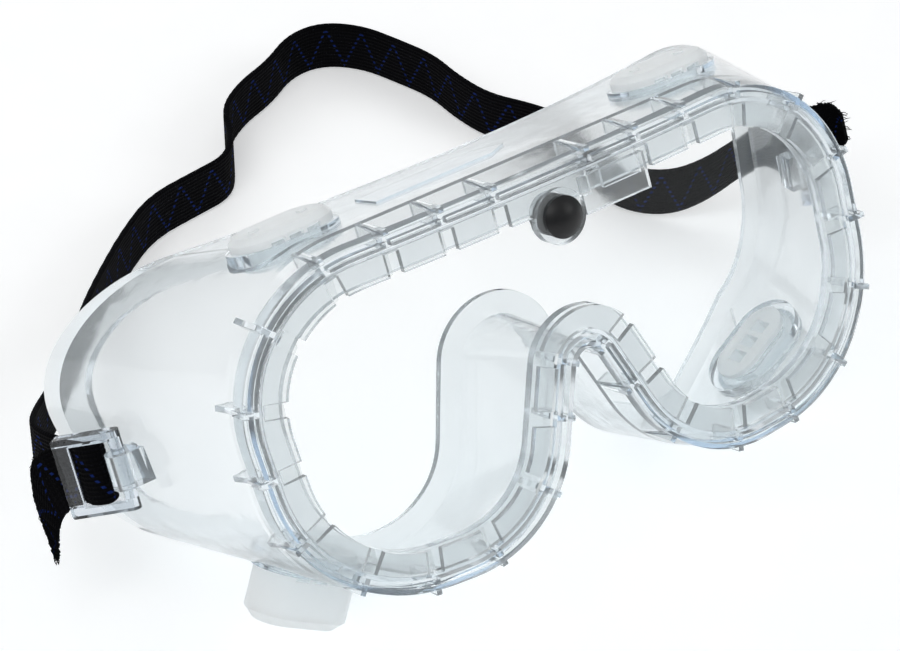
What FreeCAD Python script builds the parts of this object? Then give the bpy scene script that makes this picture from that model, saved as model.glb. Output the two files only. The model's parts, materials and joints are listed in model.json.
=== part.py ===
"""Indirect-vent safety goggles, resting on a flat surface with the strap standing on its edge behind them.

Every piece is drawn in the worn frame: X to the wearer's left, +Y towards the face, +Z up, with the origin
on the front of the lens rim, midway between the eyes. One placement then leans the whole assembly back, as
it rests on its lower vents and face flange, and sets it down on Z = 0.
"""

import FreeCAD, Part
import Sketcher

import math
import os

from FreeCAD import Placement, Rotation, Vector

doc = FreeCAD.newDocument("goggles")

# ---------------------------------------------------------------------------------------------------------
# Driving dimensions, in millimetres and degrees
# ---------------------------------------------------------------------------------------------------------

sheet = doc.addObject("Spreadsheet::Sheet", "sizes")
SIZES = {
    # window: the see-through opening of the front rim, a belt round seven circles
    "brow_x": 46.5, "brow_z": -0.5, "brow_r": 23.7,
    "cheek_x": 43.5, "cheek_z": -11.0, "cheek_r": 26.2,
    "lobe_x": 38.0, "lobe_z": -16.5, "lobe_r": 21.0,
    "nose_z": -13.0, "nose_r": 13.3,
    # rim, measured outwards from the window
    "lens_curve": 560.0, "rim_depth": 6.0, "lip_depth": 1.6, "lip_width": 6.4, "groove_width": 1.4,
    "groove_depth": 3.2, "rim_width": 9.0, "shoulder_width": 10.4, "shoulder_y": 13.0,
    # face side of the shell, drawn on a plane behind the trimming cylinder
    "face_y": 82.0, "face_brow_x": 77.0, "face_brow_z": 4.7, "face_brow_r": 23.0,
    "face_cheek_x": 71.0, "face_cheek_z": -9.5, "face_cheek_r": 27.0,
    "face_lobe_x": 42.0, "face_lobe_z": -35.6, "face_lobe_r": 23.0,
    "face_nose_z": -25.0, "face_nose_r": 16.0,
    "face_depth": 43.0, "face_curve": 188.0, "wall": 1.7, "flange_width": 7.0, "flange_thick": 1.6,
    # lens
    "lens_thick": 1.8, "lens_overlap": 5.2, "lens_gap": 0.15,
    # stud, its boss and the marking tab
    "stud_x": 1.0, "stud_z": 21.6, "stud_r": 4.7, "stud_dome": 2.0, "shank_r": 2.0, "boss_r": 6.2,
    "boss_height": 1.3, "washer_r": 4.6, "washer_thick": 1.6,
    "tab_x": 7.4, "tab_z": 19.4, "tab_long": 17.0, "tab_tall": 8.4, "tab_thick": 1.1,
    # vents
    "vent_long": 24.0, "vent_wide": 15.0, "top_vent_tall": 3.0, "low_vent_tall": 12.0, "vent_skin": 1.1,
    "vent_bore_long": 17.0, "vent_bore_wide": 8.0, "vent_base_rim": 1.6, "vent_seat": 0.8, "vent_root": 3.6,
    "top_vent_x": 50.0, "top_vent_y": 27.0, "low_vent_x": 51.6, "low_vent_y": 35.0, "low_vent_z": -14.2,
    "low_vent_angle": 68.0, "low_vent_tilt": 60.0,
    # lug and clip
    "bar_x": 93.0, "bar_y": 44.6, "bar_z": -7.0, "bar_r": 1.5, "bar_play": 0.06,
    "clip_long": 12.4, "clip_tall": 18.6, "clip_arm": 2.1, "flat_bar_thick": 1.7, "rear_bar_wide": 3.4,
    "mid_bar_x": 6.5, "mid_bar_wide": 1.8, "clip_splay": 46.0, "lug_tall": 8.0, "lug_r": 3.2,
    # strap
    "strap_width": 14.0, "strap_thick": 1.6,
    # how the goggles rest
    "lean": 26.0,
}
for row, (alias, value) in enumerate(SIZES.items(), start=1):
    sheet.set(f"A{row}", alias)
    sheet.set(f"B{row}", str(value))
    sheet.setAlias(f"B{row}", alias)
doc.recompute()


def size(alias):
    return float(sheet.get(alias))


# ---------------------------------------------------------------------------------------------------------
# Helpers
# ---------------------------------------------------------------------------------------------------------

UPRIGHT = Rotation(Vector(1, 0, 0), 90)  # turns a sketch to stand in XZ, its own Y along +Z
REACH = 150.0                            # longer than any span of the goggles, for cutting tools
BACK = Vector(0, 1, 0)
UP = Vector(0, 0, 1)


def operate(kind, name, first, second):
    """A cut, join or overlap of two objects, kept in the document."""
    made = doc.addObject("Part::" + kind, name)
    made.Base = first
    made.Tool = second
    return made


def fuse(name, pieces):
    made = doc.addObject("Part::MultiFuse", name)
    made.Shapes = pieces
    made.Refine = False
    return made


def extrude(name, base, direction, length):
    """A sketch drawn out along a direction; length is an expression."""
    made = doc.addObject("Part::Extrusion", name)
    made.Base = base
    made.DirMode = "Custom"
    made.Dir = direction
    made.Solid = True
    made.setExpression("LengthFwd", length)
    return made


def belt_circles(prefix):
    """The seven circles of an outline: (x name, side, z name, radius name, turn), anticlockwise from +X.

    turn is +1 where the belt goes round the outside of a circle and -1 at the nose, where it bends inwards.
    """
    right = [(f"{prefix}{part}_x", 1, f"{prefix}{part}_z", f"{prefix}{part}_r", 1)
             for part in ("lobe", "cheek", "brow")]
    left = [(x, -1, z, r, 1) for x, _, z, r, _ in reversed(right)]
    return right + left + [(None, 0, f"{prefix}nose_z", f"{prefix}nose_r", -1)]


def belt_geometry(prefix, grow):
    """Centres, signed radii and touching points of the belt, grown outwards by grow millimetres."""
    circles = []
    for x, side, z, r, turn in belt_circles(prefix):
        centre = Vector(side * size(x) if x else 0.0, size(z), 0)
        circles.append((centre, turn * size(r) + grow))
    normals = []
    for (start, r_start), (end, r_end) in zip(circles, circles[1:] + circles[:1]):
        span = end - start
        along = span.Length
        unit = span * (1 / along)
        lean_in = (r_start - r_end) / along
        outward = Vector(unit.y, -unit.x, 0)
        normals.append(unit * lean_in + outward * math.sqrt(1 - lean_in ** 2))
    return circles, normals


def belt_sketch(name, prefix, y, grow, grow_text):
    """A closed belt of tangent arcs and lines as a solved sketch, standing at depth y."""
    sketch = doc.addObject("Sketcher::SketchObject", name)
    sketch.Placement = Placement(Vector(0, y, 0), UPRIGHT)
    circles, normals = belt_geometry(prefix, grow)
    count = len(circles)
    for index, (centre, radius) in enumerate(circles):
        arrive = centre + normals[index - 1] * radius
        leave = centre + normals[index] * radius
        if radius < 0:
            arrive, leave = leave, arrive
        first = math.atan2(arrive.y - centre.y, arrive.x - centre.x)
        last = math.atan2(leave.y - centre.y, leave.x - centre.x)
        circle = Part.Circle(centre, UP, abs(radius))
        sketch.addGeometry(Part.ArcOfCircle(circle, first, last + (2 * math.pi if last < first else 0)))
    for index, (centre, radius) in enumerate(circles):
        after, r_after = circles[(index + 1) % count]
        sketch.addGeometry(Part.LineSegment(centre + normals[index] * radius, after + normals[index] * r_after))
    for index, (x, side, z, r, turn) in enumerate(belt_circles(prefix)):
        begin, end = (1, 2) if turn > 0 else (2, 1)
        sketch.addConstraint(Sketcher.Constraint("Tangent", index, end, count + index, 1))
        sketch.addConstraint(Sketcher.Constraint("Tangent", count + index - 1 + (count if index == 0 else 0), 2,
                                                 index, begin))
        radius = sketch.addConstraint(Sketcher.Constraint("Radius", index, abs(circles[index][1])))
        sketch.setExpression(f"Constraints[{radius}]", f"sizes.{r} {'+' if turn > 0 else '-'} ({grow_text})")
        drop = sketch.addConstraint(Sketcher.Constraint("DistanceY", index, 3, -1, 1, -circles[index][0].y))
        sketch.setExpression(f"Constraints[{drop}]", f"-sizes.{z}")
        if x is None:
            sketch.addConstraint(Sketcher.Constraint("PointOnObject", index, 3, -2))
            continue
        ends = (-1, 1, index, 3) if side > 0 else (index, 3, -1, 1)
        across = sketch.addConstraint(Sketcher.Constraint("DistanceX", *ends, size(x)))
        sketch.setExpression(f"Constraints[{across}]", f"sizes.{x}")
    return sketch


def belt_prism(name, prefix, grow_text):
    """The belt outline as a solid prism through the whole depth of the goggles."""
    sketch = belt_sketch(name + "_outline", prefix, -REACH / 3, value_of(grow_text), grow_text)
    return extrude(name, sketch, BACK, f"{REACH}")


def value_of(text):
    """The value of a sum or difference of sheet names and numbers."""
    total = 0.0
    for term in text.replace("- ", "+ -").split("+"):
        term = term.strip()
        sign = -1 if term.startswith("-") else 1
        word = term.lstrip("-").strip()
        total += sign * (size(word.split(".")[1]) if word.startswith("sizes.") else float(word))
    return total


def drum(name, radius_text, centre_text):
    """A tall cylinder about a vertical axis at depth centre_text."""
    made = doc.addObject("Part::Cylinder", name)
    made.setExpression("Radius", radius_text)
    made.Height = REACH
    made.Placement = Placement(Vector(0, 0, -REACH / 2), Rotation())
    made.setExpression("Placement.Base.y", centre_text)
    return made


def layer(name, near_text, far_text):
    """The space between two depths behind the curved front of the rim."""
    outer = drum(name + "_near", f"sizes.lens_curve - ({near_text})", "sizes.lens_curve")
    inner = drum(name + "_far", f"sizes.lens_curve - ({far_text})", "sizes.lens_curve")
    return operate("Cut", name, outer, inner)


def front_y(x, depth=0.0):
    """Depth of the curved front at a distance x from the middle."""
    curve = size("lens_curve")
    return curve - math.sqrt((curve - depth) ** 2 - x ** 2)


def loft(name, sections):
    made = doc.addObject("Part::Loft", name)
    made.Sections = sections
    made.Solid = True
    made.Ruled = True
    return made


def feature(name, shape, placement=None):
    made = doc.addObject("Part::Feature", name)
    made.Shape = shape
    if placement is not None:
        made.Placement = placement
    return made


def stadium(length, width, bottom, top):
    """A straight slot-shaped block about the origin, its long axis along X."""
    r = width / 2
    a = length / 2 - r
    corners = [Vector(-a, -r, bottom), Vector(a, -r, bottom), Vector(a, r, bottom), Vector(-a, r, bottom)]
    edges = [
        Part.LineSegment(corners[0], corners[1]).toShape(),
        Part.Arc(corners[1], Vector(a + r, 0, bottom), corners[2]).toShape(),
        Part.LineSegment(corners[2], corners[3]).toShape(),
        Part.Arc(corners[3], Vector(-a - r, 0, bottom), corners[0]).toShape(),
    ]
    return Part.Face(Part.Wire(edges)).extrude(Vector(0, 0, top - bottom))


def block(low, high):
    """A box from its lowest to its highest corner."""
    span = [b - a for a, b in zip(low, high)]
    return Part.makeBox(*span, Vector(*low))


# ---------------------------------------------------------------------------------------------------------
# Front rim: lens channel, notched lip, groove
# ---------------------------------------------------------------------------------------------------------

window = belt_prism("window", "", "0")
rim_outside = belt_prism("rim_outside", "", "sizes.rim_width")
rim_ring = operate("Cut", "rim_ring", rim_outside, window)
rim_layer = layer("rim_layer", "0", "sizes.rim_depth")
rim_block = operate("Common", "rim_block", rim_ring, rim_layer)

pocket_prism = belt_prism("pocket_prism", "", "sizes.lens_overlap + sizes.lens_gap")
pocket_layer = layer("pocket_layer", "sizes.lip_depth", "sizes.lip_depth + sizes.lens_thick + 2 * sizes.lens_gap")
lens_pocket = operate("Common", "lens_pocket", pocket_prism, pocket_layer)

groove_outside = belt_prism("groove_outside", "", "sizes.lip_width + sizes.groove_width")
groove_inside = belt_prism("groove_inside", "", "sizes.lip_width")
groove_ring = operate("Cut", "groove_ring", groove_outside, groove_inside)
groove_layer = layer("groove_layer", "-1", "sizes.groove_depth")
rim_groove = operate("Common", "rim_groove", groove_ring, groove_layer)

NOTCH_START = 12.0   # from the middle of the brow to the first notch, along the window
NOTCH_PITCH = 13.3
NOTCH_WIDE = 3.4
RIB_WIDE = 1.3


def window_wire():
    """The window outline as one wire that starts at the middle of the brow."""
    edges = Part.sortEdges(doc.getObject("window_outline").Shape.Edges)[0]
    return Part.Wire(edges)


def stations():
    """Points along the window with their outward directions, symmetric about the middle."""
    doc.recompute()
    steps = 2400
    points = window_wire().discretize(Number=steps + 1)[:-1]
    top = max(range(steps), key=lambda i: (round(points[i].z, 3), -abs(points[i].x)))
    points = points[top:] + points[:top]
    pitch = window_wire().Length / steps
    found = []
    travel = NOTCH_START
    while travel < window_wire().Length / 2 - NOTCH_PITCH / 4:
        for index in (round(travel / pitch), -round(travel / pitch)):
            here = points[index % steps]
            ahead = points[(index + 1) % steps] - points[(index - 1) % steps]
            across = Vector(ahead.z, 0, -ahead.x).normalize()
            inside = window_wire_face().isInside(here + across * 0.5, 1e-3, True)
            found.append((here, across * (-1 if inside else 1)))
        travel += NOTCH_PITCH
    return found


def window_wire_face():
    return Part.Face(window_wire())


def radial_bar(here, outward, width, near, far, front, back):
    """A bar across the rim at one station, from near to far outwards and front to back in depth."""
    bar = block((near, -width / 2, front), (far, width / 2, back))
    turn = Rotation(outward, Vector(0, 0, 0), BACK, "XZY")
    bar.Placement = Placement(Vector(here.x, front_y(here.x), here.z), turn)
    return bar


STATIONS = stations()
notches = feature("notches", Part.makeCompound([
    radial_bar(here, outward, NOTCH_WIDE, -1.0, size("lip_width") - 1.2, -1.5, size("lip_depth") + 0.02)
    for here, outward in STATIONS]))
RIB_OUT = 1.2        # how far a rib stands out beyond the rim
RIB_BACK = 13.0      # how far back the ribs reach
ribs = [
    feature(f"rib_{number}", radial_bar(here, outward, RIB_WIDE, size("lip_width") - 0.6,
                                        size("rim_width") + RIB_OUT, 0.5, RIB_BACK))
    for number, (here, outward) in enumerate(STATIONS)
]

rim_tools = fuse("rim_tools", [lens_pocket, rim_groove])
rim_channel = operate("Cut", "rim_channel", rim_block, rim_tools)
rim = operate("Cut", "rim", rim_channel, notches)

# ---------------------------------------------------------------------------------------------------------
# Shell between the rim and the face, and its turned-in face flange
# ---------------------------------------------------------------------------------------------------------

FRONT_PLANE = 3.0


def shell_loft(name, thinner, thinner_text, spill):
    """The body lofted from the rim to the face plane, made smaller all round by thinner."""
    rim_grow = size("rim_width") - thinner
    shoulder_grow = size("shoulder_width") - thinner
    sections = [
        belt_sketch(name + "_front", "", FRONT_PLANE - spill, rim_grow, f"sizes.rim_width - {thinner_text}"),
        belt_sketch(name + "_shoulder", "", size("shoulder_y"), shoulder_grow,
                    f"sizes.shoulder_width - {thinner_text}"),
        belt_sketch(name + "_face", "face_", size("face_y") + spill, -thinner, f"-{thinner_text}"),
    ]
    return loft(name, sections)


outer_body = shell_loft("outer_body", 0.0, "0", 0.0)
inner_body = shell_loft("inner_body", size("wall"), "sizes.wall", 1.0)
flange_hole = shell_loft("flange_hole", size("flange_width"), "sizes.flange_width", 1.0)
head = drum("head", "sizes.face_curve", "sizes.face_depth + sizes.face_curve")
head_skin = drum("head_skin", "sizes.face_curve + sizes.flange_thick", "sizes.face_depth + sizes.face_curve")
behind_front = drum("behind_front", "sizes.lens_curve - 0.8", "sizes.lens_curve")
tube = operate("Cut", "tube", outer_body, inner_body)
tube_behind = operate("Common", "tube_behind", tube, behind_front)
shell = operate("Cut", "shell", tube_behind, head)
flange_ring = operate("Cut", "flange_ring", outer_body, flange_hole)
flange_layer = operate("Cut", "flange_layer", head_skin, head)
flange = operate("Common", "flange", flange_ring, flange_layer)

# ---------------------------------------------------------------------------------------------------------
# Stud boss, marking tab and blank label panel
# ---------------------------------------------------------------------------------------------------------

def cylinder_y(name, radius_text, x, z, front, back):
    """A cylinder whose axis runs from front to back."""
    made = doc.addObject("Part::Cylinder", name)
    made.setExpression("Radius", radius_text)
    made.Height = back - front
    made.Placement = Placement(Vector(x, front, z), Rotation(Vector(1, 0, 0), -90))
    return made


stud_x, stud_z = size("stud_x"), size("stud_z")
boss = cylinder_y("boss", "sizes.boss_r", stud_x, stud_z, -size("boss_height"), size("lip_depth") - 0.05)
CLEAR = 0.15          # play round the stud's shank and behind its washer
shank_hole = cylinder_y("shank_hole", f"sizes.shank_r + {CLEAR}", stud_x, stud_z, -REACH / 10, REACH / 10)
lens_back = size("lip_depth") + size("lens_thick") + 2 * size("lens_gap")
washer_recess = cylinder_y("washer_recess", "sizes.washer_r + 0.4", stud_x, stud_z, lens_back - 0.1, REACH / 10)

tab = doc.addObject("Part::Box", "tab")
tab.setExpression("Length", "sizes.tab_long")
tab.setExpression("Height", "sizes.tab_tall")
tab.Width = size("tab_thick") + size("lip_depth") / 2
tab.Placement = Placement(Vector(size("tab_x"), -size("tab_thick"), size("tab_z")), Rotation())


def wall_hit(start, direction):
    """Where a line from inside the body leaves its outer surface."""
    line = Part.makeLine(start, start + direction * (REACH / 2))
    inside = doc.getObject("outer_body").Shape.common(line)
    return max((v.Point for v in inside.Vertexes), key=lambda point: (point - start).dot(direction))


def wall_seat(start, direction, facing=None):
    """A placement on the outer wall: +Z along facing or its normal, +X round the body, +Y to the face."""
    direction = Vector(direction).normalize()
    side = Vector(direction.z, 0, -direction.x).normalize()
    step = 5.0
    centre = wall_hit(start, direction)
    round_body = wall_hit(start + side * step, direction) - wall_hit(start - side * step, direction)
    to_face = wall_hit(start + BACK * step, direction) - wall_hit(start - BACK * step, direction)
    normal = round_body.cross(to_face).normalize()
    if normal.dot(direction) < 0:
        normal = -normal
    if facing is not None:
        normal = Vector(facing.x, normal.y, facing.z).normalize()
    return Placement(centre, Rotation(round_body, Vector(0, 0, 0), normal, "ZXY"))


doc.recompute()
PANEL_X, PANEL_Y = -14.0, 27.0
PANEL_LONG, PANEL_WIDE, PANEL_POINT = 30.0, 10.0, 6.0
PANEL_RISE = 0.5
half_long, half_wide = PANEL_LONG / 2, PANEL_WIDE / 2
panel_corners = [Vector(-half_long, -half_wide, -1), Vector(half_long, -half_wide, -1),
                 Vector(half_long + PANEL_POINT, 0, -1), Vector(half_long, half_wide, -1),
                 Vector(-half_long, half_wide, -1)]
panel_face = Part.Face(Part.makePolygon(panel_corners + panel_corners[:1]))
panel = feature("panel", panel_face.extrude(Vector(0, 0, 1 + PANEL_RISE)),
                wall_seat(Vector(PANEL_X, PANEL_Y, 0), UP))

# ---------------------------------------------------------------------------------------------------------
# Vents: a seat and bore in the shell, a slotted base from inside, a cap outside
# ---------------------------------------------------------------------------------------------------------

low_angle = math.radians(size("low_vent_angle"))
low_tilt = math.radians(size("low_vent_tilt"))
VENTS = {}
for side_name, side in (("left", 1), ("right", -1)):
    top_start = Vector(side * size("top_vent_x"), size("top_vent_y"), 0)
    low_start = Vector(side * size("low_vent_x"), size("low_vent_y"), size("low_vent_z"))
    VENTS["top_" + side_name] = wall_seat(top_start, UP)
    VENTS["bottom_" + side_name] = wall_seat(
        low_start, Vector(side * math.cos(low_angle), 0, -math.sin(low_angle)),
        Vector(side * math.cos(low_tilt), 0, -math.sin(low_tilt)))

vent_long, vent_wide = size("vent_long"), size("vent_wide")
bore_long, bore_wide = size("vent_bore_long"), size("vent_bore_wide")
seat_top, seat_root = size("vent_seat"), -size("vent_root")
SEAT_EDGE = 2.4
SLOT_LONG, SLOT_WIDE, SLOT_PITCH = 3.0, 4.4, 4.4
LOUVRE_TALL = 1.1
VENT_KINDS = {          # cap height, chamfer round its top, height of the base's neck
    "top": (size("top_vent_tall"), 1.4, 1.4),
    "bottom": (size("low_vent_tall"), 2.2, 3.4),
}
POST_R, POST_X = 1.2, 6.0


def vent_base_shape(neck_top):
    """A slotted plug that fills the bore and has a rim inside the shell."""
    neck = stadium(bore_long, bore_wide, seat_root, neck_top)
    rim_long = bore_long + 2 * size("vent_base_rim")
    rim_wide = bore_wide + 2 * size("vent_base_rim")
    plug = neck.fuse(stadium(rim_long, rim_wide, seat_root - 1.3, seat_root))
    for index in (-1, 0, 1):
        x = index * SLOT_PITCH
        plug = plug.cut(block((x - SLOT_LONG / 2, -SLOT_WIDE / 2, -REACH / 10),
                              (x + SLOT_LONG / 2, SLOT_WIDE / 2, REACH / 10)))
    return plug.removeSplitter()


def vent_cap_shape(tall, chamfer, neck_top):
    """A hollow chamfered cover with side louvres and two posts that stand on the base."""
    top = seat_top + tall
    skin = size("vent_skin")
    body = stadium(vent_long, vent_wide, seat_top, top)
    rim_edges = [e for e in body.Edges if all(abs(v.Point.z - top) < 1e-6 for v in e.Vertexes)]
    body = body.makeChamfer(chamfer, rim_edges)
    hollow = stadium(vent_long - 2 * skin, vent_wide - 2 * skin, seat_top - 1, top - skin)
    inside = [e for e in hollow.Edges if all(abs(v.Point.z - top + skin) < 1e-6 for v in e.Vertexes)]
    body = body.cut(hollow.makeChamfer(chamfer - skin / 3, inside))
    for index in (-1, 0, 1):
        x = index * SLOT_PITCH
        body = body.cut(block((x - 1.7, -vent_wide, seat_top - 1), (x + 1.7, vent_wide, seat_top + LOUVRE_TALL)))
    for side in (-1, 1):
        x = side * (bore_long / 2 - POST_R - 1)
        body = body.fuse(Part.makeCylinder(POST_R, top - skin / 2 - neck_top, Vector(x, 0, neck_top)))
        body = body.fuse(Part.makeCylinder(POST_R, 0.5, Vector(side * POST_X, 0, top - 0.1)))
    return body.removeSplitter()



VENT_PLAY = 0.15      # round a base in its bore and a cap on its seat


def vent_opening(tall):
    """The bore through a seat, with room in the wall for the base's rim inside and the cap outside."""
    rim_play = 2 * size("vent_base_rim") + 2 * VENT_PLAY
    bore = stadium(bore_long + 2 * VENT_PLAY, bore_wide + 2 * VENT_PLAY, seat_root - 3, seat_top + 3)
    inside = stadium(bore_long + rim_play, bore_wide + rim_play, seat_root - 4, seat_root)
    outside = stadium(vent_long + 2 * VENT_PLAY, vent_wide + 2 * VENT_PLAY, seat_top, seat_top + tall)
    return bore.fuse(inside).fuse(outside)


seats, bores = [], []
for place_name, seat in VENTS.items():
    tall, chamfer, neck_top = VENT_KINDS[place_name.split("_")[0]]
    seats.append(feature("seat_" + place_name,
                         stadium(vent_long + SEAT_EDGE, vent_wide + SEAT_EDGE, seat_root, seat_top), seat))
    bores.append(feature("bore_" + place_name, vent_opening(tall), seat))
    feature("vent_base_" + place_name, vent_base_shape(neck_top), seat)
    feature("vent_cap_" + place_name, vent_cap_shape(tall, chamfer, neck_top), seat)

# ---------------------------------------------------------------------------------------------------------
# Lugs on the temples
# ---------------------------------------------------------------------------------------------------------

bar_x, bar_y, bar_z = size("bar_x"), size("bar_y"), size("bar_z")
lug_half = size("lug_tall") / 2
LUG_WEB_WIDE = 6.0
LUG_WEB_DEEP = 5.6
lugs, lug_bores = [], []
for side_name, side in (("left", 1), ("right", -1)):
    centre = Vector(side * bar_x, bar_y, bar_z - lug_half)
    barrel = Part.makeCylinder(size("lug_r"), 2 * lug_half, centre)
    web_x = sorted((side * bar_x, side * (bar_x - LUG_WEB_DEEP)))
    web = block((web_x[0], bar_y - LUG_WEB_WIDE / 2, bar_z - lug_half),
                (web_x[1], bar_y + LUG_WEB_WIDE / 2, bar_z + lug_half))
    lugs.append(feature("lug_" + side_name, barrel.fuse(web)))
    play_r = size("bar_r") + size("bar_play")
    lug_bores.append(feature("lug_bore_" + side_name,
                             Part.makeCylinder(play_r, 2 * lug_half + 4, centre - UP * 2)))

added = fuse("frame_solid", [rim, shell, flange, boss, tab, panel] + ribs + seats + lugs)
removed = fuse("frame_openings", [shank_hole, washer_recess] + bores + lug_bores)
goggle_frame = operate("Cut", "goggle_frame", added, removed)

# ---------------------------------------------------------------------------------------------------------
# Lens, its stud and the stud's washer
# ---------------------------------------------------------------------------------------------------------

lens_prism = belt_prism("lens_prism", "", "sizes.lens_overlap")
lens_layer = layer("lens_layer", "sizes.lip_depth + sizes.lens_gap",
                   "sizes.lip_depth + sizes.lens_gap + sizes.lens_thick")
lens_blank = operate("Common", "lens_blank", lens_prism, lens_layer)
lens = operate("Cut", "lens", lens_blank, shank_hole)

head_back = -size("boss_height")
HEAD_THICK = 1.1
stud_r, dome = size("stud_r"), size("stud_dome")
ball_r = (stud_r ** 2 + dome ** 2) / (2 * dome)
ball = Part.makeSphere(ball_r, Vector(stud_x, head_back - HEAD_THICK - dome + ball_r, stud_z))
crown = ball.common(Part.makeCylinder(stud_r, dome + 1, Vector(stud_x, head_back - HEAD_THICK, stud_z), -BACK))
disc = Part.makeCylinder(stud_r, HEAD_THICK, Vector(stud_x, head_back, stud_z), -BACK)
TIP = 1.2             # how far the shank shows behind its washer
shank_long = size("boss_height") + lens_back + size("washer_thick") + TIP
shank = Part.makeCylinder(size("shank_r"), shank_long, Vector(stud_x, head_back, stud_z), BACK)
barb = Part.makeCone(size("shank_r") + 0.5, size("shank_r") - 0.5, TIP - 0.15,
                     Vector(stud_x, lens_back + size("washer_thick") + 0.15, stud_z), BACK)
feature("lens_stud", disc.fuse(crown).fuse(shank).fuse(barb).removeSplitter())
washer_disc = Part.makeCylinder(size("washer_r"), size("washer_thick"), Vector(stud_x, lens_back, stud_z), BACK)
washer_hole = Part.makeCylinder(size("shank_r") + 0.05, REACH / 10, Vector(stud_x, 0, stud_z), BACK)
feature("stud_washer", washer_disc.cut(washer_hole))

# ---------------------------------------------------------------------------------------------------------
# Strap clips and the strap ends looped round their middle bars
# ---------------------------------------------------------------------------------------------------------

clip_long, clip_half = size("clip_long"), size("clip_tall") / 2
arm = size("clip_arm")
rear_wide, bar_thick = size("rear_bar_wide"), size("flat_bar_thick")
mid_x, mid_wide = size("mid_bar_x"), size("mid_bar_wide")
ARM_THICK = 3.0
CLIP_ROUND = 0.7
REAR_OUT = -ARM_THICK / 2              # the rear bar is flush with the clip's outer side
MID_OUT = ARM_THICK / 2 - bar_thick    # the middle bar is flush with its inner side


def clip_shape():
    """A three-bar slide: round front bar along Z at the origin, flat middle and rear bars towards +X."""
    clip_end = clip_long + rear_wide / 2
    ring = block((0, -ARM_THICK / 2, clip_half - arm), (clip_end, ARM_THICK / 2, clip_half))
    ring = ring.fuse(block((0, -ARM_THICK / 2, -clip_half), (clip_end, ARM_THICK / 2, arm - clip_half)))
    inset = clip_half - arm / 2
    ring = ring.fuse(block((clip_end - rear_wide, REAR_OUT, -inset), (clip_end, REAR_OUT + bar_thick, inset)))
    ring = ring.fuse(block((mid_x - mid_wide / 2, MID_OUT, -inset),
                           (mid_x + mid_wide / 2, MID_OUT + bar_thick, inset)))
    ring = ring.fuse(Part.makeCylinder(size("bar_r"), 2 * clip_half, Vector(0, 0, -clip_half)))
    corners = [e for e in ring.Edges if all(abs(v.X - clip_end) < 1e-6 for v in e.Vertexes)
               and all(abs(abs(v.Z) - clip_half) < 1e-6 for v in e.Vertexes)]
    return ring.makeFillet(CLIP_ROUND, corners)


strap_half, strap_thick = size("strap_width") / 2, size("strap_thick")
LOOP_PLAY = 0.25      # between the strap and the bars it passes
MAIN_END = (13.0, 6.2)  # end of the layer that runs on round the head, in the clip's own X and Y
TAIL_LEG = 16.0


def strap_strip(start, end):
    """A straight upright strip of strap between two points of its middle line, rounded at its ends."""
    (x0, y0), (x1, y1) = start, end
    along = Vector(x1 - x0, y1 - y0, 0)
    strip = Part.makeBox(along.Length, strap_thick, 2 * strap_half, Vector(0, -strap_thick / 2, -strap_half))
    strip.Placement = Placement(Vector(x0, y0, 0), Rotation(Vector(1, 0, 0), along))
    return strip


def strap_knuckle(x, y):
    return Part.makeCylinder(strap_thick / 2, 2 * strap_half, Vector(x, y, -strap_half))


def strap_end_shape(tail_drop):
    """The strap's turn round the middle bar: one layer runs on round the head, the other is the cut tail.

    Both pass inside the rear bar, the tail next to it, and the tail droops by tail_drop.
    """
    half = strap_thick / 2
    over_y = MID_OUT - LOOP_PLAY - half                     # outside the middle bar
    under_y = MID_OUT + bar_thick + LOOP_PLAY + half        # inside the middle bar
    tail_y = REAR_OUT + bar_thick + LOOP_PLAY + half        # under the rear bar
    turn_r = (under_y - over_y) / 2
    turn_x = mid_x - mid_wide / 2 - LOOP_PLAY - half + turn_r - 0.15
    turn_y = (under_y + over_y) / 2
    bend = Part.makeCylinder(turn_r + half, 2 * strap_half, Vector(turn_x, turn_y, -strap_half))
    bend = bend.cut(Part.makeCylinder(turn_r - half, 2 * strap_half, Vector(turn_x, turn_y, -strap_half)))
    bend = bend.cut(block((turn_x, -REACH, -REACH), (REACH, REACH, REACH)))
    rear_start = clip_long - rear_wide / 2 + 0.1
    dive_x = mid_x + mid_wide / 2
    tail_x = clip_long + rear_wide / 2 + 0.3
    main_line = [(turn_x, under_y), MAIN_END]
    tail_line = [(turn_x, over_y), (dive_x, over_y), (rear_start, tail_y), (tail_x, tail_y)]
    shape = bend
    for middle in (main_line, tail_line):
        for start, end in zip(middle, middle[1:]):
            shape = shape.fuse(strap_strip(start, end))
        for x, y in middle[1:-1]:
            shape = shape.fuse(strap_knuckle(x, y))
    outline = [(tail_x - 0.1, strap_half), (TAIL_LEG - 1, strap_half), (TAIL_LEG, strap_half - 1),
               (TAIL_LEG, -strap_half), (TAIL_LEG - 0.6, -strap_half - tail_drop),
               (tail_x, -strap_half - tail_drop), (tail_x - 0.1, -strap_half)]
    corners = [Vector(x, tail_y - half, z) for x, z in outline]
    tail = Part.Face(Part.makePolygon(corners + corners[:1])).extrude(Vector(0, strap_thick, 0))
    return shape.fuse(tail).removeSplitter()


splay = math.radians(size("clip_splay"))
clip_along = Vector(math.sin(splay), math.cos(splay), 0)
AT_LUG = Placement(Vector(bar_x, bar_y, bar_z), Rotation(clip_along, Vector(0, 0, 0), UP, "ZXY"))
TAIL_DROP = {"left": 5.0, "right": 8.5}


def on_the_right(name, shape):
    """The mirror image of a piece that was drawn at the left lug."""
    made = doc.addObject("Part::Mirroring", name)
    made.Source = feature(name + "_drawn_left", shape, AT_LUG)
    made.Normal = Vector(1, 0, 0)
    return made


feature("strap_clip_left", clip_shape(), AT_LUG)
on_the_right("strap_clip_right", clip_shape())
feature("strap_end_left", strap_end_shape(TAIL_DROP["left"]), AT_LUG)
on_the_right("strap_end_right", strap_end_shape(TAIL_DROP["right"]))

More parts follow.
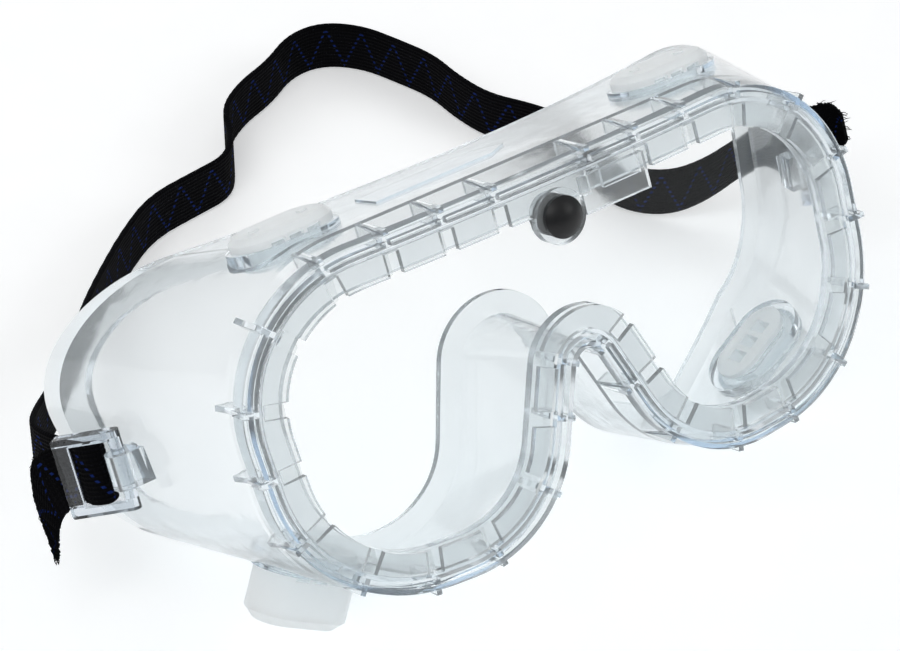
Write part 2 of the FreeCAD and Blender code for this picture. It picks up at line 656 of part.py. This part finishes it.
# ---------------------------------------------------------------------------------------------------------
# Resting place: leaned back on the lower vents and the flange, centred over the origin
# ---------------------------------------------------------------------------------------------------------

doc.recompute()
STRAP_NODES = ["strap", "strap_end_left", "strap_end_right"]
PIECES = ["goggle_frame", "lens", "lens_stud", "stud_washer", "strap_clip_left", "strap_clip_right"]
PIECES += [f"vent_{part}_{place}" for part in ("base", "cap") for place in VENTS]
LEAN = Placement(Vector(0, 0, 0), Rotation(Vector(1, 0, 0), -size("lean")))


def at_rest(shape, place):
    moved = shape.copy()
    moved.Placement = place.multiply(shape.Placement)
    return moved


leaned = Part.makeCompound([at_rest(doc.getObject(name).Shape, LEAN) for name in PIECES])
box = leaned.optimalBoundingBox(False)
REST = Placement(Vector(-(box.XMin + box.XMax) / 2, -(box.YMin + box.YMax) / 2, -box.ZMin), Rotation())
REST = REST.multiply(LEAN)

# ---------------------------------------------------------------------------------------------------------
# Strap: stands on its edge behind the goggles, in the resting frame
# ---------------------------------------------------------------------------------------------------------

# Centre of the strap from the left clip round to the right clip; X and Y are counted from the front of the
# rim before the goggles are centred, Z from the surface they rest on.
ROUTE = [
    (99.7, 53.4, 35), (101.2, 57.6, 32.4), (101.6, 62.4, 29.2), (100.6, 67.6, 23.6), (97.6, 72, 17.2),
    (93.4, 75.8, 12), (87.6, 79.8, 8.6), (82, 86.2, 7.2), (78.5, 94.2, 7.2), (79, 104.2, 7.2), (80, 114.2, 7.2),
    (75.4, 123.8, 7.2), (69, 133, 7.2), (66.8, 144.2, 7.2), (66.6, 155, 7.2), (62.8, 165.4, 7.2),
    (58.3, 176.2, 7.2), (50, 183.5, 7.2), (40, 183.4, 7.2), (30, 177, 7.2), (19, 173.2, 7.2),
    (10.2, 166.8, 7.2), (6.7, 157.6, 7.2), (0.9, 149.4, 7.2), (-9.5, 148, 7.2), (-24, 146, 7.2),
    (-36.5, 137.4, 7.6), (-48.5, 126.2, 9.8), (-59.4, 114.4, 13.4), (-68, 103.5, 17.2), (-76, 93, 21.2),
    (-83.4, 84, 24.8), (-90.4, 76.2, 28), (-96.6, 69.8, 30.8), (-100.8, 64, 33.2), (-101.4, 58.4, 34.8),
    (-99.7, 53.4, 35.8),
]
route = [Vector(x + REST.Base.x, y + REST.Base.y, z) for x, y, z in ROUTE]


def rounded_route(points):
    """Stations along straight runs joined by tangent arcs: (point, direction) pairs, and the arcs' radii."""
    made = [(points[0], (points[1] - points[0]).normalize())]
    radii = []
    for before, corner, after in zip(points, points[1:], points[2:]):
        into, out = (corner - before), (after - corner)
        reach = 0.45 * min(into.Length, out.Length)
        into.normalize()
        out.normalize()
        turn = into.getAngle(out)
        radii.append(reach / math.tan(turn / 2))
        start, end = corner - into * reach, corner + out * reach
        bisector = (out - into).normalize()
        centre = corner + bisector * (radii[-1] / math.cos(turn / 2))
        middle = centre - bisector * radii[-1]
        made += [(start, into), (middle, (into + out).normalize()), (end, out)]
    made.append((points[-1], (points[-1] - points[-2]).normalize()))
    return made, radii


def strap_section(point, direction):
    """An upright rectangle across the strap."""
    across = Vector(direction.y, -direction.x, 0).normalize() * (strap_thick / 2)
    up = UP * strap_half
    corners = [point - across - up, point + across - up, point + across + up, point - across + up]
    return Part.makePolygon(corners + corners[:1])


line, bend_radii = rounded_route(route)
print("strap bend radii", [round(r, 1) for r in bend_radii])
run = sum((b[0] - a[0]).Length for a, b in zip(line, line[1:]))
feature("strap", Part.makeLoft([strap_section(*station) for station in line], True, True))
print("strap length", round(run, 1), "volume share",
      round(doc.getObject("strap").Shape.Volume / (run * strap_thick * 2 * strap_half), 3))

# ---------------------------------------------------------------------------------------------------------
# Place, check and write every piece
# ---------------------------------------------------------------------------------------------------------

for name in PIECES + ["strap_end_left", "strap_end_right"]:
    piece = doc.getObject(name)
    piece.Placement = REST.multiply(piece.Placement)
doc.recompute()

for made in doc.Objects:
    if "Invalid" in made.State or "Error" in made.State:
        raise RuntimeError(f"{made.Name} failed: {made.State}")

os.makedirs("parts", exist_ok=True)
for name in PIECES + STRAP_NODES:
    piece = doc.getObject(name)
    shape = piece.Shape
    if shape.isNull() or not shape.isValid() or len(shape.Solids) != 1:
        raise RuntimeError(f"{name} is not one valid solid")
    piece.Label = name
    shape.exportStep(f"parts/{name}.step")
    tight = shape.optimalBoundingBox(False)
    print(f"{name:26} {shape.Volume:9.1f} mm3  x {tight.XMin:7.1f} {tight.XMax:7.1f}"
          f"  y {tight.YMin:7.1f} {tight.YMax:7.1f}  z {tight.ZMin:6.1f} {tight.ZMax:6.1f}")
print("rest", REST.Base, "bar", REST.multVec(Vector(bar_x, bar_y, bar_z)), "up", REST.Rotation.multVec(UP))
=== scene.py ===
"""Clear safety goggles with a black elastic strap: materials, strap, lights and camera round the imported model."""
import json
import math
import random

import bpy
from mathutils import Matrix, Vector


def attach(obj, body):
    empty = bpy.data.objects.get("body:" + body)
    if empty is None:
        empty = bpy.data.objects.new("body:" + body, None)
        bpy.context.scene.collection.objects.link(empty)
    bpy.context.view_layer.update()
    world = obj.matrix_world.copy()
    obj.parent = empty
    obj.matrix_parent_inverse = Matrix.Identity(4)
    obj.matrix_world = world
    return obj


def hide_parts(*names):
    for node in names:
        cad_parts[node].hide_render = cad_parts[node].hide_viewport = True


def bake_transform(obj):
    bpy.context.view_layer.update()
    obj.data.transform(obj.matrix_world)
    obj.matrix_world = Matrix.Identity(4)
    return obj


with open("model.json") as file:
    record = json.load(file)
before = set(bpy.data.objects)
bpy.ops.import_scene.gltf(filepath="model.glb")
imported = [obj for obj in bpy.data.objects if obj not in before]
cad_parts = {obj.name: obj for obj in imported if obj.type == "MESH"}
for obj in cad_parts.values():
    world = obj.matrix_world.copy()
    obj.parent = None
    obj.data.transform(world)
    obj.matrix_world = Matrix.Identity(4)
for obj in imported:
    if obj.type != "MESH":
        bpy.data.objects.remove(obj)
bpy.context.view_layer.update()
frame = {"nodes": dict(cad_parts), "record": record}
scene = bpy.context.scene
MM = 0.001

# ---------------------------------------------------------------------------------------------------------
# Camera
# ---------------------------------------------------------------------------------------------------------

AIM = Vector((-0.0307, -0.0203, 0.0762))
AZIMUTH, ELEVATION, ROLL = math.radians(-34.141), math.radians(40.789), math.radians(-0.18)
DISTANCE = 0.744


def add_camera():
    data = bpy.data.cameras.new("camera")
    data.sensor_width = 36.0
    data.lens = 141.77
    data.clip_start = 0.05
    camera = bpy.data.objects.new("camera", data)
    scene.collection.objects.link(camera)
    back = Vector((math.sin(AZIMUTH) * math.cos(ELEVATION), -math.cos(AZIMUTH) * math.cos(ELEVATION),
                   math.sin(ELEVATION)))
    turned = back.to_track_quat("Z", "Y").to_matrix() @ Matrix.Rotation(ROLL, 3, "Z")
    camera.matrix_world = Matrix.Translation(AIM + back * DISTANCE) @ turned.to_4x4()
    scene.camera = camera


add_camera()

# ---------------------------------------------------------------------------------------------------------
# Node helpers
# ---------------------------------------------------------------------------------------------------------


class Nodes:
    """Short calls to build one material's node tree."""

    def __init__(self, name):
        self.material = bpy.data.materials.new(name)
        self.material.use_nodes = True
        self.tree = self.material.node_tree
        self.tree.nodes.clear()

    def add(self, kind, inputs=None, **settings):
        """A node with its settings, and its inputs each linked to a socket or set to a value."""
        node = self.tree.nodes.new(kind)
        for key, value in settings.items():
            setattr(node, key, value)
        for key, value in (inputs or {}).items():
            socket = node.inputs[key]
            if isinstance(value, bpy.types.NodeSocket):
                self.tree.links.new(value, socket)
            else:
                socket.default_value = value
        return node

    def math(self, operation, *values):
        node = self.add("ShaderNodeMath", dict(enumerate(values)), operation=operation)
        return node.outputs[0]

    def noise(self, scale, detail=3.0, rough=0.5):
        place = self.add("ShaderNodeTexCoord").outputs["Object"]
        node = self.add("ShaderNodeTexNoise", {"Scale": scale, "Detail": detail, "Roughness": rough,
                                               "Vector": place})
        return node.outputs["Fac"]

    def ramp(self, factor, low, high, start=0.35, end=0.65):
        """As factor goes from start to end, the colour goes from low to high."""
        node = self.add("ShaderNodeValToRGB", {"Fac": factor})
        first, last = node.color_ramp.elements
        first.position, last.position = start, end
        first.color, last.color = (*low, 1), (*high, 1)
        return node.outputs["Color"]

    def spread(self, factor, low, high, start=0.3, end=0.7):
        """As factor goes from start to end, the number goes from low to high."""
        node = self.add("ShaderNodeMapRange", {"Value": factor, "From Min": start, "From Max": end,
                                               "To Min": low, "To Max": high})
        return node.outputs["Result"]

    def bump(self, height, distance):
        node = self.add("ShaderNodeBump", {"Height": height, "Distance": distance, "Strength": 1.0})
        return node.outputs["Normal"]

    def finish(self, surface, volume=None):
        links = {"Surface": surface}
        if volume is not None:
            links["Volume"] = volume
        self.add("ShaderNodeOutputMaterial", links)
        return self.material


def clear_plastic(name, tints, roughness, ior, absorb, density, ripple, ripple_size, through=1.0):
    """A clear moulding: faintly cloudy, rippled as it came from its mould, and more tinted where it is thick.

    Light passes straight through it, with a slight tint, so that it casts only a faint shadow.
    """
    n = Nodes(name)
    cloud = n.noise(34.0, 4.0, 0.6)
    fine = n.noise(ripple_size, 2.0, 0.4)
    scuff = n.noise(260.0, 5.0, 0.7)
    shader = n.add("ShaderNodeBsdfPrincipled", {
        "Base Color": n.ramp(cloud, *tints), "Roughness": n.spread(scuff, *roughness),
        "IOR": ior, "Transmission Weight": through, "Normal": n.bump(fine, ripple)})
    shadow = n.add("ShaderNodeLightPath").outputs["Is Shadow Ray"]
    passing = n.add("ShaderNodeBsdfTransparent", {"Color": (0.93, 0.95, 0.955, 1)})
    mixed = n.add("ShaderNodeMixShader", {0: shadow, 1: shader.outputs[0], 2: passing.outputs[0]})
    volume = n.add("ShaderNodeVolumeAbsorption", {"Color": (*absorb, 1), "Density": density})
    return n.finish(mixed.outputs[0], volume.outputs[0])


def black_plastic():
    """The stud: moulded black plastic with a fine grain, a little paler where it is rubbed."""
    n = Nodes("stud_black")
    grain, worn = n.noise(900.0, 4.0, 0.6), n.noise(120.0, 5.0, 0.7)
    shader = n.add("ShaderNodeBsdfPrincipled", {
        "Base Color": n.ramp(worn, (0.003, 0.003, 0.004), (0.009, 0.009, 0.010)),
        "Roughness": n.spread(worn, 0.34, 0.5), "Specular IOR Level": 0.35,
        "Normal": n.bump(grain, 0.00003)})
    return n.finish(shader.outputs[0])


STRAP_WIDTH, STRAP_THICK = 0.014, 0.0016
CORDS, CORD_HEIGHT = 13, 0.00011          # the knitted cords that run along the strap
COURSE, COURSE_HEIGHT = 0.0011, 0.00004   # the courses that run across it, in the mesh
FINE_COURSE_MM = 0.75     # the finer courses, in the material
ZIGZAG = 0.0100           # length of strap that one zigzag of the blue thread takes
ZIGZAG_SPAN = 0.78        # share of the width that it swings over
STITCH = 0.00155          # from one blue stitch to the next, across the strap
STITCH_SHARE = 0.42       # of that, how much the stitch itself takes
THREAD_MM = 0.75          # half the blue thread's width, measured across the strap


def strap_fabric():
    """Black knitted elastic: cords along it, courses across it, and a dotted blue thread that zigzags over it.

    The UV map is in millimetres: along the strap, and across it from its middle.
    """
    n = Nodes("strap_elastic")
    uv = n.add("ShaderNodeSeparateXYZ", {0: n.add("ShaderNodeUVMap", uv_map="UVMap").outputs[0]})
    along, across = uv.outputs[0], uv.outputs[1]
    width = STRAP_WIDTH / MM
    half_zigzag = ZIGZAG / MM / 2
    cords = n.math("ABSOLUTE", n.math("SINE", n.math("MULTIPLY", across, math.pi * CORDS / width)))
    lean = n.math("MULTIPLY", n.math("PINGPONG", across, width / (2 * CORDS)), 0.5)
    leaned = n.math("ADD", along, lean)
    courses = n.math("ABSOLUTE", n.math("SINE", n.math("MULTIPLY", leaned, math.pi / FINE_COURSE_MM)))
    knit = n.math("MULTIPLY", cords, n.math("ADD", n.math("MULTIPLY", courses, 0.6), 0.4))
    swing = n.math("PINGPONG", along, half_zigzag)
    track = n.math("SUBTRACT", n.math("MULTIPLY", swing, ZIGZAG_SPAN * width / half_zigzag),
                   ZIGZAG_SPAN / 2 * width)
    off_track = n.math("ABSOLUTE", n.math("SUBTRACT", across, track))
    on_track = n.math("LESS_THAN", off_track, THREAD_MM)
    dash = n.math("LESS_THAN", n.math("FRACT", n.math("DIVIDE", across, STITCH / MM)), STITCH_SHARE)
    stitch = n.math("MULTIPLY", on_track, dash)
    fuzz = n.noise(2600.0, 3.0, 0.7)
    patch = n.noise(70.0, 3.0, 0.5)
    # The yarn colour follows the knit height: it is darker between the cords and courses, which is painted shade in
    # the grooves, and the patch noise adds a real random tone.
    yarn_and_painted_groove_shade = n.ramp(n.math("MULTIPLY", knit, patch), (0.0006, 0.0006, 0.0010), (0.0034, 0.0033, 0.0048), 0.1, 0.6)
    thread = n.ramp(fuzz, (0.003, 0.009, 0.06), (0.011, 0.028, 0.15))
    factor, first, second = 0, 6, 7       # the sockets that a Mix node of colours uses
    colour = n.add("ShaderNodeMix", {factor: stitch, first: yarn_and_painted_groove_shade, second: thread}, data_type="RGBA")
    height = n.math("ADD", n.math("ADD", knit, n.math("MULTIPLY", stitch, 0.8)), n.math("MULTIPLY", fuzz, 0.5))
    shader = n.add("ShaderNodeBsdfPrincipled", {
        "Base Color": colour.outputs[2], "Roughness": n.spread(knit, 0.78, 0.95, 0.0, 1.0),
        "Specular IOR Level": 0.05, "Sheen Weight": 0.01, "Sheen Roughness": 0.4,
        "Normal": n.bump(height, 0.00022)})
    return n.finish(shader.outputs[0])


FINISH = {
    "clear_pvc": clear_plastic(
        "clear_pvc", tints=((0.905, 0.922, 0.925), (0.938, 0.951, 0.953)), roughness=(0.04, 0.13), ior=1.43,
        absorb=(0.46, 0.68, 0.88), density=22.0, ripple=0.00012, ripple_size=60.0, through=0.9),
    "lens_clear": clear_plastic(
        "lens_clear", tints=((0.985, 0.99, 0.99), (0.995, 0.998, 0.998)), roughness=(0.0, 0.03), ior=1.45,
        absorb=(0.8, 0.9, 0.95), density=6.0, ripple=0.00001, ripple_size=20.0),
    "clip_clear": clear_plastic(
        "clip_clear", tints=((0.82, 0.855, 0.885), (0.90, 0.92, 0.94)), roughness=(0.02, 0.09), ior=1.50,
        absorb=(0.42, 0.56, 0.76), density=60.0, ripple=0.00010, ripple_size=160.0),
    "vent_milky": clear_plastic(
        "vent_milky", tints=((0.95, 0.965, 0.97), (0.98, 0.988, 0.99)), roughness=(0.28, 0.45), ior=1.42,
        absorb=(0.85, 0.93, 0.96), density=6.0, ripple=0.00010, ripple_size=120.0, through=0.5),
    "stud_black": black_plastic(),
    "strap_elastic": strap_fabric(),
}

for part in frame["record"]["subparts"]:
    node = frame["nodes"].get(part["node"])
    if node is not None:
        for place in node.material_slots:
            place.material = FINISH[part["material_slot"]]

# ---------------------------------------------------------------------------------------------------------
# Strap: one flat elastic on its edge, from the left clip round behind the goggles to the right clip
# ---------------------------------------------------------------------------------------------------------

# The route in millimetres, Y counted from the front of the rim as in the CAD part, Z from the surface.
ROUTE = [
    (99.7, 53.4, 35), (101.2, 57.6, 32.4), (101.6, 62.4, 29.2), (100.6, 67.6, 23.6), (97.6, 72, 17.2),
    (93.4, 75.8, 12), (87.6, 79.8, 8.6), (82, 86.2, 7.2), (78.5, 94.2, 7.2), (79, 104.2, 7.2), (80, 114.2, 7.2),
    (75.4, 123.8, 7.2), (69, 133, 7.2), (66.8, 144.2, 7.2), (66.6, 155, 7.2), (62.8, 165.4, 7.2),
    (58.3, 176.2, 7.2), (50, 183.5, 7.2), (40, 183.4, 7.2), (30, 177, 7.2), (19, 173.2, 7.2),
    (10.2, 166.8, 7.2), (6.7, 157.6, 7.2), (0.9, 149.4, 7.2), (-9.5, 148, 7.2), (-24, 146, 7.2),
    (-36.5, 137.4, 7.6), (-48.5, 126.2, 9.8), (-59.4, 114.4, 13.4), (-68, 103.5, 17.2), (-76, 93, 21.2),
    (-83.4, 84, 24.8), (-90.4, 76.2, 28), (-96.6, 69.8, 30.8), (-100.8, 64, 33.2), (-101.4, 58.4, 34.8),
    (-99.7, 53.4, 35.8),
]
FRONT_OF_RIM = -24.2002
route = [Vector((x, y + FRONT_OF_RIM, z)) * MM for x, y, z in ROUTE]
UP = Vector((0, 0, 1))


def read_spline(points, resolution):
    """Points along the smooth NURBS line that has these control points."""
    curve = bpy.data.curves.new("route", "CURVE")
    curve.dimensions = "3D"
    spline = curve.splines.new("NURBS")
    spline.points.add(len(points) - 1)
    for point, place in zip(spline.points, points):
        point.co = (*place, 1)
    spline.order_u = 3
    spline.use_endpoint_u = True
    spline.resolution_u = resolution
    carrier = bpy.data.objects.new("route", curve)
    scene.collection.objects.link(carrier)
    bpy.context.view_layer.update()
    line = bpy.data.meshes.new_from_object(carrier)
    made = [vertex.co.copy() for vertex in line.vertices]
    bpy.data.objects.remove(carrier)
    bpy.data.curves.remove(curve)
    bpy.data.meshes.remove(line)
    return made


def directions(line):
    """The line's direction at each of its points."""
    made = []
    for index in range(len(line)):
        before, after = line[max(index - 1, 0)], line[min(index + 1, len(line) - 1)]
        made.append((after - before).normalized())
    return made


def distances(line):
    """How far along the line each of its points is."""
    made = [0.0]
    for before, after in zip(line, line[1:]):
        made.append(made[-1] + (after - before).length)
    return made


PLAIN_UV = (0.4, 0.4)      # a place on the fabric with no blue stitch


class Knit:
    """The vertices, faces and UVs of one knitted piece, and then its object."""

    def __init__(self):
        self.vertices, self.faces, self.uvs = [], [], []

    def skin(self, first, rows, size):
        """The faces round rows of size vertices each, from the vertex numbered first, and a cap at each end."""
        for row in range(rows - 1):
            for index in range(size):
                after = (index + 1) % size
                self.faces.append(tuple(first + v for v in (row * size + index, row * size + after,
                                                            (row + 1) * size + after, (row + 1) * size + index)))
        self.faces.append(tuple(first + v for v in reversed(range(size))))
        self.faces.append(tuple(first + (rows - 1) * size + v for v in range(size)))

    def band(self, edges, start_at=0.0):
        """A flat strap between its (low, high) edge points, with rounded edges, cords along it and courses across.

        start_at is how far along the strap it begins, for its stitching.
        """
        half = STRAP_THICK / 2
        steps = CORDS * 4
        face = []
        for index in range(steps + 1):
            share = index / steps
            reach = min(1.0, min(share, 1 - share) * STRAP_WIDTH / half)
            round_off = math.sqrt(1 - (1 - reach) ** 2)
            cord_height = CORD_HEIGHT * (abs(math.sin(math.pi * share * CORDS)) - 1)
            face.append((share, 1, half * round_off + cord_height * round_off))
        loop = face + [(share, -1, height) for share, _, height in reversed(face[1:-1])]
        middle = [(low + high) / 2 for low, high in edges]
        run, ways = distances(middle), directions(middle)
        first = len(self.vertices)
        for (low, high), way, at in zip(edges, ways, run):
            out = way.cross(high - low).normalized()
            slim = min(1.0, 0.45 + (high - low).length / STRAP_WIDTH)
            ripple = COURSE_HEIGHT * math.sin((at + start_at) / COURSE * math.pi)
            for share, facing, height in loop:
                proud = facing * (height * slim + ripple * (height > 0))
                self.vertices.append(low.lerp(high, share) + out * proud)
                self.uvs.append(((at + start_at) / MM, (share - 0.5) * STRAP_WIDTH / MM))
        self.skin(first, len(edges), len(loop))

    def thread(self, points, radius):
        """A loose end of yarn: a thin five-sided tube along points, thinner at its tip."""
        first, sides = len(self.vertices), 5
        for index, (point, way) in enumerate(zip(points, directions(points))):
            side = way.orthogonal().normalized()
            other = way.cross(side)
            thin = radius * (1 - 0.5 * index / (len(points) - 1))
            for turn in range(sides):
                angle = 2 * math.pi * turn / sides
                self.vertices.append(point + (side * math.cos(angle) + other * math.sin(angle)) * thin)
                self.uvs.append(PLAIN_UV)
        self.skin(first, len(points), sides)

    def piece(self, name):
        mesh = bpy.data.meshes.new(name)
        mesh.from_pydata(self.vertices, [], self.faces)
        layer = mesh.uv_layers.new(name="UVMap")
        for corner in mesh.loops:
            layer.data[corner.index].uv = self.uvs[corner.vertex_index]
        for polygon in mesh.polygons:
            polygon.use_smooth = len(polygon.vertices) == 4
        mesh.materials.append(FINISH["strap_elastic"])
        made = bpy.data.objects.new(name, mesh)
        scene.collection.objects.link(made)
        return made


PER_POINT = 10             # points read from a spline for each of its control points
strap_line = read_spline(route, PER_POINT)
half_up = UP * (STRAP_WIDTH / 2)
band = Knit()
band.band([(point - half_up, point + half_up) for point in strap_line])
strap = band.piece("strap_band")
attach(strap, "goggles")
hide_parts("strap")

# ---------------------------------------------------------------------------------------------------------
# Strap ends: round the middle bar of each clip, out under its rear bar, and a frayed cut tail
# ---------------------------------------------------------------------------------------------------------

SPLAY = math.radians(46)   # how far the clip turns out from straight back
LEAN = math.radians(26)    # how far the goggles lean back as they lie
LUG = Vector((93.0, 12.8175, 42.3821)) * MM
BEND_AT = (6.3, 0.65)      # centre of the turn round the middle bar, in the clip's own X and Y, in millimetres
BEND_RADIUS = 1.9
UNDER_REAR = 1.25          # the tail's Y inside the rear bar
TURN_AFTER = 0.0022        # how far from the fixed strap the end begins to turn to the clip's own upright
SEAM_AT = 0.0031           # where along the zigzag the end's stitching begins
FRAY = 0.00028             # the most that a cut edge wanders
YARN_RADIUS = 0.00013
END_YARNS, EDGE_YARNS = 16, 14   # loose yarns at the cut, and along the upper edge near it


def from_worn(v):
    """A direction of the goggles as worn, leaned back as they lie."""
    cos, sin = math.cos(LEAN), math.sin(LEAN)
    return Vector((v[0], v[1] * cos + v[2] * sin, -v[1] * sin + v[2] * cos))


CLIP_X = from_worn((math.sin(SPLAY), math.cos(SPLAY), 0))
CLIP_Y = from_worn((-math.cos(SPLAY), math.sin(SPLAY), 0))
CLIP_Z = from_worn((0, 0, 1))


def at_clip(x, y, z, side):
    """A place in a clip's own millimetres; side is 1 at the left clip and -1 at its mirror image."""
    place = LUG + (CLIP_X * x + CLIP_Y * y + CLIP_Z * z) * MM
    return Vector((place.x * side, place.y, place.z))


def clip_up(side):
    """The way up along the clip's bars."""
    return Vector((CLIP_Z.x * side, CLIP_Z.y, CLIP_Z.z))


def add_strap_end(label, side, start, away, tail, seed):
    """One end of the strap, from where it leaves the fixed strap to its frayed tail.

    It slides between the bars, turns round the middle one and comes out inside the rear one. start and away are
    the fixed strap's end and its direction there; tail is the cut end's rows, (low edge, high edge) in the clip's
    own millimetres.
    """
    reach = STRAP_WIDTH / 2
    x, y = BEND_AT
    r = BEND_RADIUS
    edges = [(start - UP * reach, start + UP * reach)]
    near = start - away * TURN_AFTER
    turned = UP.lerp(clip_up(side), 0.2).normalized() * reach
    edges.append((near - turned, near + turned))
    path = [(13.2, 6.25), (11.8, 5.3), (10.0, 4.1), (8.4, 3.0), (x + 0.8, y + r + 0.05), (x - 1.0, y + r + 0.12),
            (x - r - 0.3, y + 1.3), (x - r - 0.3, y - 1.3), (x - 1.0, y - r - 0.12), (x + 0.9, y - r - 0.05),
            (x + 2.4, y - 1.2), (x + 3.9, UNDER_REAR), (x + 5.6, UNDER_REAR + 0.05)]
    edges += [(at_clip(px, py, -reach / MM, side), at_clip(px, py, reach / MM, side)) for px, py in path]
    edges += [(at_clip(*low, side), at_clip(*high, side)) for low, high in tail]
    lows = read_spline([low for low, _ in edges], PER_POINT)
    highs = read_spline([high for _, high in edges], PER_POINT)
    rows = list(zip(lows, highs))
    rng = random.Random(seed)
    cut_from = int(len(rows) * (1 - (len(tail) - 1.5) / len(edges)))
    for index in range(cut_from, len(rows)):
        low, high = rows[index]
        fray = FRAY * ((index - cut_from) / (len(rows) - cut_from)) ** 0.5
        way = (high - low).normalized()
        rows[index] = (low + way * (fray * rng.uniform(-1, 1)), high + way * (fray * rng.uniform(-1, 1)))
    knit = Knit()
    knit.band(rows, SEAM_AT)
    roots = [rows[-1][0].lerp(rows[-1][1], rng.random()) for _ in range(END_YARNS)]
    roots += [rows[rng.randrange(cut_from + 6, len(rows))][1] for _ in range(EDGE_YARNS)]
    onward = ((rows[-1][0] + rows[-1][1]) - (rows[-8][0] + rows[-8][1])).normalized()
    for root in roots:
        drift = Vector((rng.uniform(-1, 1), rng.uniform(-1, 1), rng.uniform(-1, 0.6))) * 0.55
        way, length = (onward + drift).normalized(), rng.uniform(0.0006, 0.0021)
        bow = Vector((rng.uniform(-1, 1), rng.uniform(-1, 1), rng.uniform(-1, 1))) * 0.0003
        knit.thread([root - way * 0.0004, root + way * length * 0.5 + bow, root + way * length], YARN_RADIUS)
    return knit.piece("strap_tail_" + label)


# The left tail's rows stand upright, as x, y, low z, high z; the right tail's lean, and narrow to a point.
TAIL_LEFT = [((x, y, low), (x, y, high)) for x, y, low, high in (
    (14.1, 1.25, -7.0, 7.0), (16.4, 0.9, -6.4, 7.6), (18.3, -0.8, -5.6, 8.5), (19.4, -3.2, -4.6, 8.8),
    (19.4, -5.4, -3.6, 8.2), (19.0, -7.0, -2.4, 6.6), (18.8, -7.6, -1.6, 5.4))]
TAIL_RIGHT = [
    ((14.1, 1.25, -7.0), (14.1, 1.25, 7.0)), ((15.0, 1.3, -7.8), (17.0, 1.2, 6.9)),
    ((16.2, 1.5, -8.6), (19.8, 1.6, 5.6)), ((17.2, 1.7, -9.2), (21.8, 2.0, 3.0)),
    ((18.0, 1.6, -10.0), (22.7, 2.4, -1.0)), ((18.8, 1.4, -11.2), (23.3, 2.6, -5.0)),
    ((19.6, 1.2, -12.8), (23.0, 2.3, -9.0)), ((20.1, 1.0, -14.6), (22.7, 1.8, -12.5)),
    ((20.6, 0.9, -16.6), (22.4, 1.3, -15.6)), ((21.2, 0.8, -18.6), (22.0, 1.0, -18.2))]

strap_ways = directions(strap_line)
left_end = add_strap_end("left", 1, strap_line[0], strap_ways[0], TAIL_LEFT, 5)
right_end = add_strap_end("right", -1, strap_line[-1], -strap_ways[-1], TAIL_RIGHT, 11)

for piece, body, node, side, end in ((left_end, "clip_left", "strap_end_left", 1, strap_line[0]),
                                     (right_end, "clip_right", "strap_end_right", -1, strap_line[-1])):
    # Each end stays where it was built, in world space, and the model's own strap end is hidden in its place.
    across = (CLIP_X * -0.7 + CLIP_Y * -3.4) * MM
    across.x *= side
    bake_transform(piece)
    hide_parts(node)

# ---------------------------------------------------------------------------------------------------------
# Floor, light, sky
# ---------------------------------------------------------------------------------------------------------


def add_floor():
    """White paper that glows a little, so that it stays white round the goggles."""
    n = Nodes("paper")
    grain = n.noise(55.0, 6.0, 0.6)
    shader = n.add("ShaderNodeBsdfPrincipled", {
        "Base Color": n.ramp(grain, (0.84, 0.845, 0.85), (0.86, 0.865, 0.87)), "Roughness": 0.9,
        "Specular IOR Level": 0.1, "Emission Color": (1, 1, 1, 1), "Emission Strength": 0.34})
    material = n.finish(shader.outputs[0])
    mesh = bpy.data.meshes.new("floor")
    reach = 3.0
    mesh.from_pydata([(-reach, -reach, 0), (reach, -reach, 0), (reach, reach, 0), (-reach, reach, 0)], [],
                     [(0, 1, 2, 3)])
    mesh.materials.append(material)
    floor = bpy.data.objects.new("floor", mesh)
    floor.location.z = -0.0002
    scene.collection.objects.link(floor)


def add_area(name, place, target, size, power):
    data = bpy.data.lights.new(name, "AREA")
    data.shape = "RECTANGLE"
    data.size, data.size_y = size
    data.energy = power
    lamp = bpy.data.objects.new(name, data)
    lamp.location = place
    lamp.rotation_euler = (Vector(target) - Vector(place)).to_track_quat("-Z", "Y").to_euler()
    scene.collection.objects.link(lamp)


def add_sky():
    """Even studio light, white overhead and darker towards the horizon, as between soft boxes."""
    world = bpy.data.worlds.new("studio")
    scene.world = world
    world.use_nodes = True
    tree = world.node_tree
    tree.nodes.clear()
    place = tree.nodes.new("ShaderNodeTexCoord")
    parts = tree.nodes.new("ShaderNodeSeparateXYZ")
    shade = tree.nodes.new("ShaderNodeValToRGB")
    ramp = shade.color_ramp
    ramp.elements[0].position, ramp.elements[0].color = 0.0, (0.9, 0.93, 0.95, 1)
    ramp.elements[1].position, ramp.elements[1].color = 1.0, (1.0, 1.0, 1.0, 1)
    for position, grey in ((0.5, 0.80), (0.58, 0.62), (0.72, 0.95)):
        ramp.elements.new(position).color = (grey * 0.94, grey * 0.98, grey, 1)
    rescale = tree.nodes.new("ShaderNodeMapRange")
    rescale.inputs["From Min"].default_value, rescale.inputs["From Max"].default_value = -1, 1
    sky = tree.nodes.new("ShaderNodeBackground")
    sky.inputs["Strength"].default_value = 0.48
    out = tree.nodes.new("ShaderNodeOutputWorld")
    tree.links.new(place.outputs["Generated"], parts.inputs[0])
    tree.links.new(parts.outputs["Z"], rescale.inputs["Value"])
    tree.links.new(rescale.outputs["Result"], shade.inputs["Fac"])
    tree.links.new(shade.outputs["Color"], sky.inputs["Color"])
    tree.links.new(sky.outputs[0], out.inputs["Surface"])


add_floor()
add_sky()
add_area("key", (-0.55, -0.25, 0.95), (0, 0, 0.04), (0.7, 0.7), 3.4)
add_area("fill", (0.75, -0.7, 0.7), (0, 0, 0.05), (0.5, 0.5), 2.0)
add_area("back", (0.25, 0.85, 0.6), (0, 0.05, 0.05), (0.9, 0.4), 1.6)
scene.view_settings.view_transform = "Standard"
